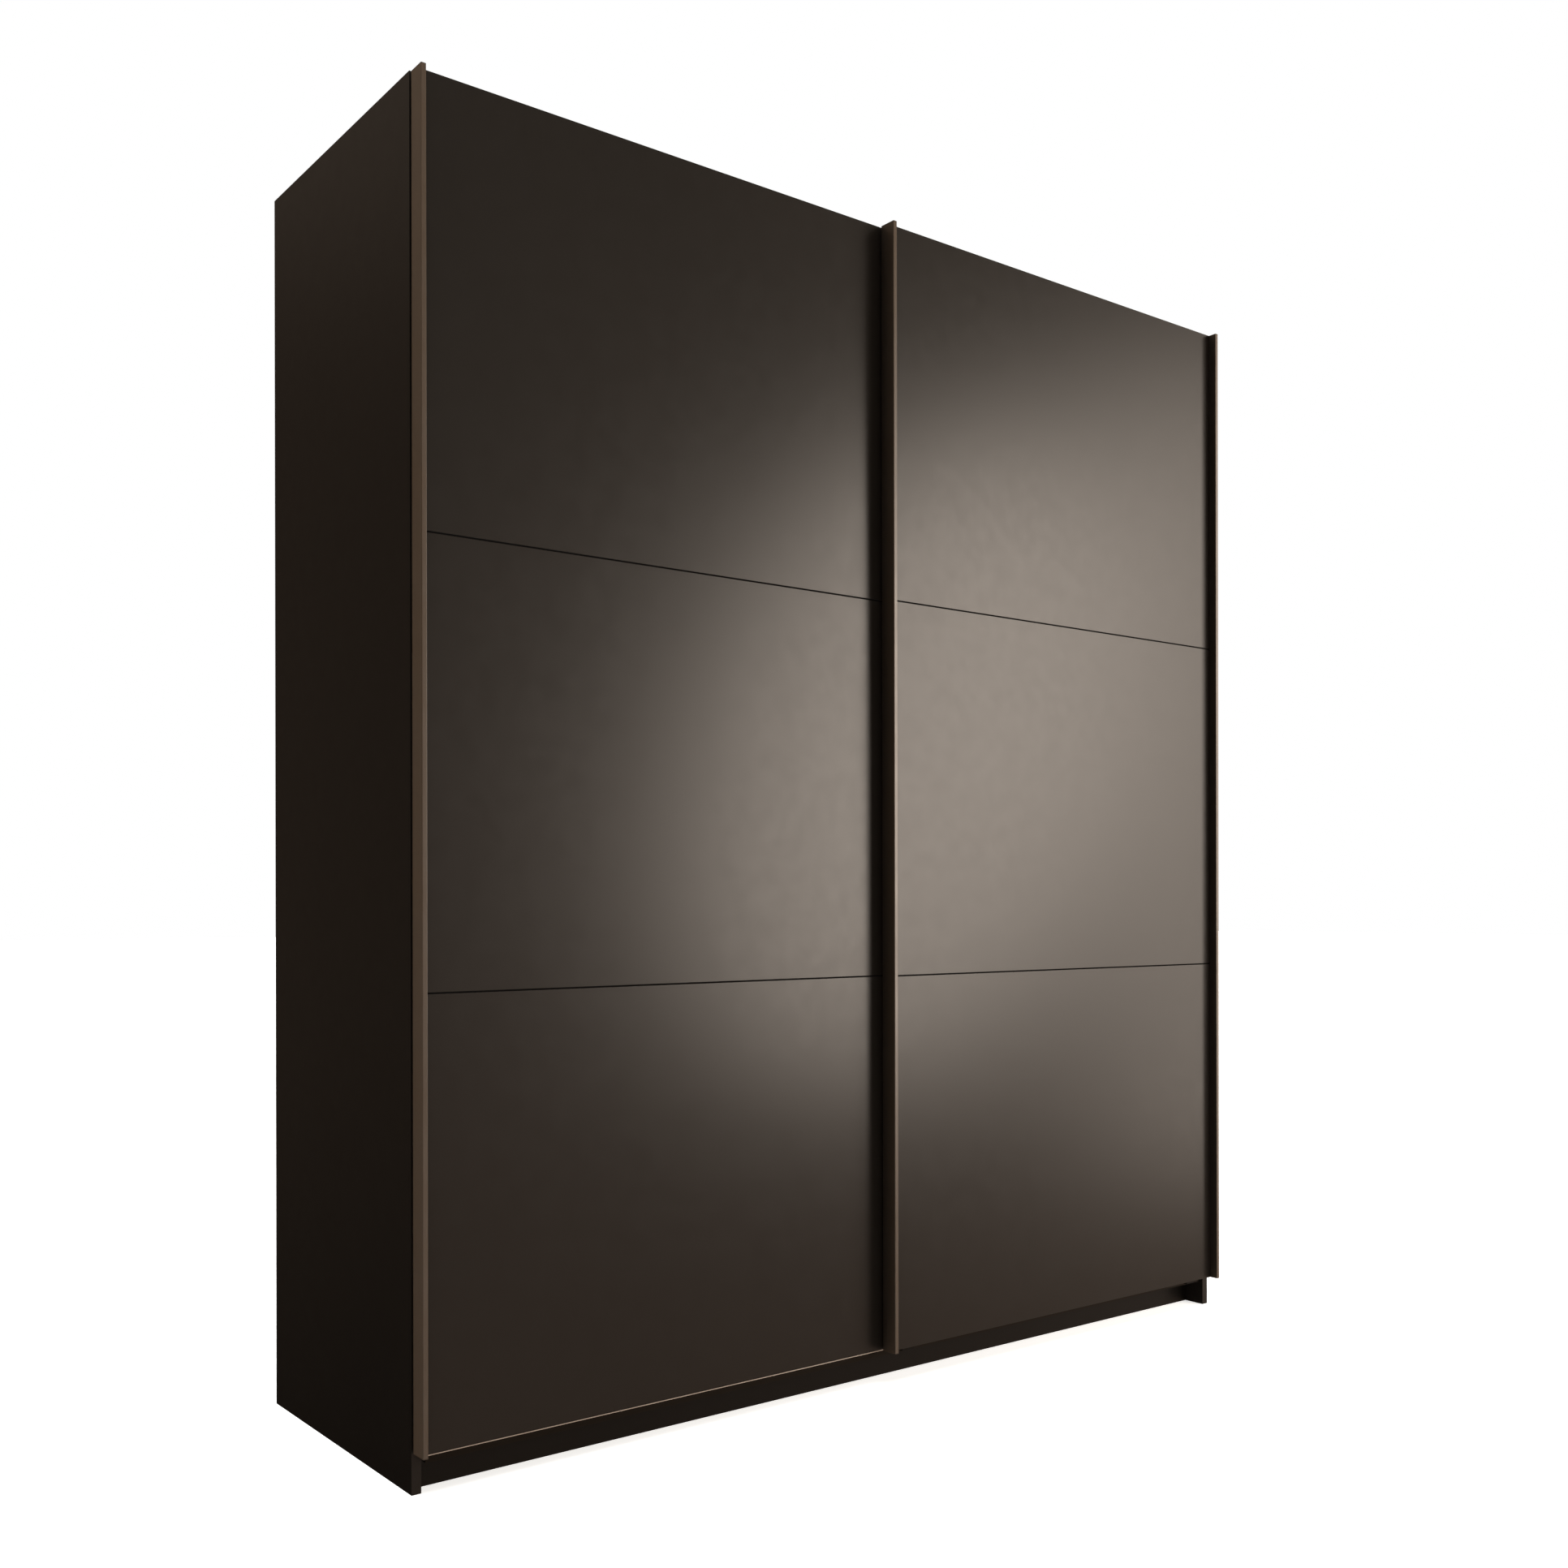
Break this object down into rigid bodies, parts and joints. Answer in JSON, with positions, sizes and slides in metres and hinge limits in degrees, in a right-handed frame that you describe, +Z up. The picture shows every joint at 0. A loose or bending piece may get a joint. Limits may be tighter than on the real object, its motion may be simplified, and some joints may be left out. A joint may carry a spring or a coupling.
{
  "type": "sliding-door wardrobe",
  "caption": "Tall dark wardrobe with sliding doors that hang in front of the carcass, upright handle fins, and a shelf and clothes rail in each bay.",
  "frame": {"origin": "bottom centre of the bounding box, on the floor", "axes": "+X to the right seen from the front, +Y towards the wall, +Z up; the doors face -Y"},
  "size_m": [1.9, 0.625, 2.1615],
  "materials": {
    "outer_board": "satin melamine-faced chipboard, dark brown-grey",
    "door_board": "satin lacquered chipboard, dark brown-grey",
    "inner_board": "matt melamine with a fine linen print",
    "back_board": "printed hardboard",
    "bronze_profile": "bronze anodised, fine brushed",
    "profile_cap": "moulded plastic in the profiles' colour",
    "black_plastic": "matt black extruded plastic",
    "wheel_plastic": "grey moulded nylon",
    "white_plastic": "white moulded plastic",
    "zinc_steel": "zinc-plated",
    "track_aluminium": "natural anodised",
    "chrome_tube": "polished",
    "beech": "raw beech, fluted",
    "buffer_rubber": "soft rubber",
    "brush_pile": "short woven pile"
  },
  "bodies": {
    "carcass": {"left_side_panel": "outer_board", "right_side_panel": "outer_board", "front_plinth": "outer_board", "centre_partition": "inner_board", "left_floor_board": "inner_board", "right_floor_board": "inner_board", "left_top_board": "inner_board", "right_top_board": "inner_board", "rear_plinths": "inner_board", "left_hat_shelf": "inner_board", "right_hat_shelf": "inner_board", "left_back_panel": "back_board", "right_back_panel": "back_board", "bottom_rail_trim": "bronze_profile", "back_joint_strip": "black_plastic", "track_stops": "black_plastic", "bottom_guide_rail": "black_plastic", "shelf_pins": "zinc_steel", "cam_fittings": "zinc_steel", "cam_bolts": "zinc_steel", "wall_brackets": "zinc_steel", "clothes_rail_sockets": "zinc_steel", "top_track": "track_aluminium", "clothes_rails": "chrome_tube", "dowels": "beech", "stop_buffers": "buffer_rubber"},
    "left_door": {"left_door_top_panel": "door_board", "left_door_middle_panel": "door_board", "left_door_bottom_panel": "door_board", "left_door_handle_fin": "bronze_profile", "left_door_edge_profile": "bronze_profile", "left_door_profile_caps": "profile_cap", "left_door_joint_profiles": "black_plastic", "left_door_guide_housings": "white_plastic", "left_door_hangers": "zinc_steel", "left_door_axles": "zinc_steel", "left_door_screws": "zinc_steel", "left_door_brush_seal": "brush_pile"},
    "right_door": {"right_door_top_panel": "door_board", "right_door_middle_panel": "door_board", "right_door_bottom_panel": "door_board", "right_door_handle_fins": "bronze_profile", "right_door_profile_caps": "profile_cap", "right_door_joint_profiles": "black_plastic", "right_door_guide_keepers": "white_plastic", "right_door_hangers": "zinc_steel", "right_door_axles": "zinc_steel", "right_door_screws": "zinc_steel"},
    "left_guide_finger_a": {"left_guide_finger_a": "black_plastic"},
    "left_guide_finger_b": {"left_guide_finger_b": "black_plastic"},
    "right_guide_hook_a": {"right_guide_hook_a": "black_plastic"},
    "right_guide_hook_b": {"right_guide_hook_b": "black_plastic"},
    "left_wheel_1": {"left_wheel_1": "wheel_plastic"},
    "left_wheel_2": {"left_wheel_2": "wheel_plastic"},
    "left_wheel_3": {"left_wheel_3": "wheel_plastic"},
    "left_wheel_4": {"left_wheel_4": "wheel_plastic"},
    "right_wheel_1": {"right_wheel_1": "wheel_plastic"},
    "right_wheel_2": {"right_wheel_2": "wheel_plastic"},
    "right_wheel_3": {"right_wheel_3": "wheel_plastic"},
    "right_wheel_4": {"right_wheel_4": "wheel_plastic"}
  },
  "joints": [
    {"name": "left_door_slide", "type": "slide", "parent": "carcass", "child": "left_door", "axis": [1, 0, 0], "range_m": [0, 0.9145]},
    {"name": "right_door_slide", "type": "slide", "parent": "carcass", "child": "right_door", "axis": [1, 0, 0], "range_m": [-0.916, 0]},
    {"name": "left_guide_finger_a_lift", "type": "slide", "parent": "left_door", "child": "left_guide_finger_a", "axis": [0, 0, 1], "range_m": [0, 0.012]},
    {"name": "left_guide_finger_b_lift", "type": "slide", "parent": "left_door", "child": "left_guide_finger_b", "axis": [0, 0, 1], "range_m": [0, 0.012]},
    {"name": "right_guide_hook_a_drop", "type": "slide", "parent": "right_door", "child": "right_guide_hook_a", "axis": [0, 0, 1], "range_m": [-0.008, 0]},
    {"name": "right_guide_hook_b_drop", "type": "slide", "parent": "right_door", "child": "right_guide_hook_b", "axis": [0, 0, 1], "range_m": [-0.008, 0]},
    {"name": "left_wheel_1_spin", "type": "hinge", "parent": "left_door", "child": "left_wheel_1", "pos_m": [-0.8335, -0.2315, 2.1253], "axis": [0, 1, 0], "continuous": true},
    {"name": "left_wheel_2_spin", "type": "hinge", "parent": "left_door", "child": "left_wheel_2", "pos_m": [-0.7635, -0.2315, 2.1253], "axis": [0, 1, 0], "continuous": true},
    {"name": "left_wheel_3_spin", "type": "hinge", "parent": "left_door", "child": "left_wheel_3", "pos_m": [-0.1695, -0.2315, 2.1253], "axis": [0, 1, 0], "continuous": true},
    {"name": "left_wheel_4_spin", "type": "hinge", "parent": "left_door", "child": "left_wheel_4", "pos_m": [-0.0995, -0.2315, 2.1253], "axis": [0, 1, 0], "continuous": true},
    {"name": "right_wheel_1_spin", "type": "hinge", "parent": "right_door", "child": "right_wheel_1", "pos_m": [0.095, -0.1955, 2.1253], "axis": [0, 1, 0], "continuous": true},
    {"name": "right_wheel_2_spin", "type": "hinge", "parent": "right_door", "child": "right_wheel_2", "pos_m": [0.165, -0.1955, 2.1253], "axis": [0, 1, 0], "continuous": true},
    {"name": "right_wheel_3_spin", "type": "hinge", "parent": "right_door", "child": "right_wheel_3", "pos_m": [0.759, -0.1955, 2.1253], "axis": [0, 1, 0], "continuous": true},
    {"name": "right_wheel_4_spin", "type": "hinge", "parent": "right_door", "child": "right_wheel_4", "pos_m": [0.829, -0.1955, 2.1253], "axis": [0, 1, 0], "continuous": true}
  ],
  "couplings": [
    {"joint": "left_wheel_1_spin", "follows": "left_door_slide", "rad_per_m": 90.909},
    {"joint": "left_wheel_2_spin", "follows": "left_door_slide", "rad_per_m": 90.909},
    {"joint": "left_wheel_3_spin", "follows": "left_door_slide", "rad_per_m": 90.909},
    {"joint": "left_wheel_4_spin", "follows": "left_door_slide", "rad_per_m": 90.909},
    {"joint": "right_wheel_1_spin", "follows": "right_door_slide", "rad_per_m": 90.909},
    {"joint": "right_wheel_2_spin", "follows": "right_door_slide", "rad_per_m": 90.909},
    {"joint": "right_wheel_3_spin", "follows": "right_door_slide", "rad_per_m": 90.909},
    {"joint": "right_wheel_4_spin", "follows": "right_door_slide", "rad_per_m": 90.909}
  ]
}
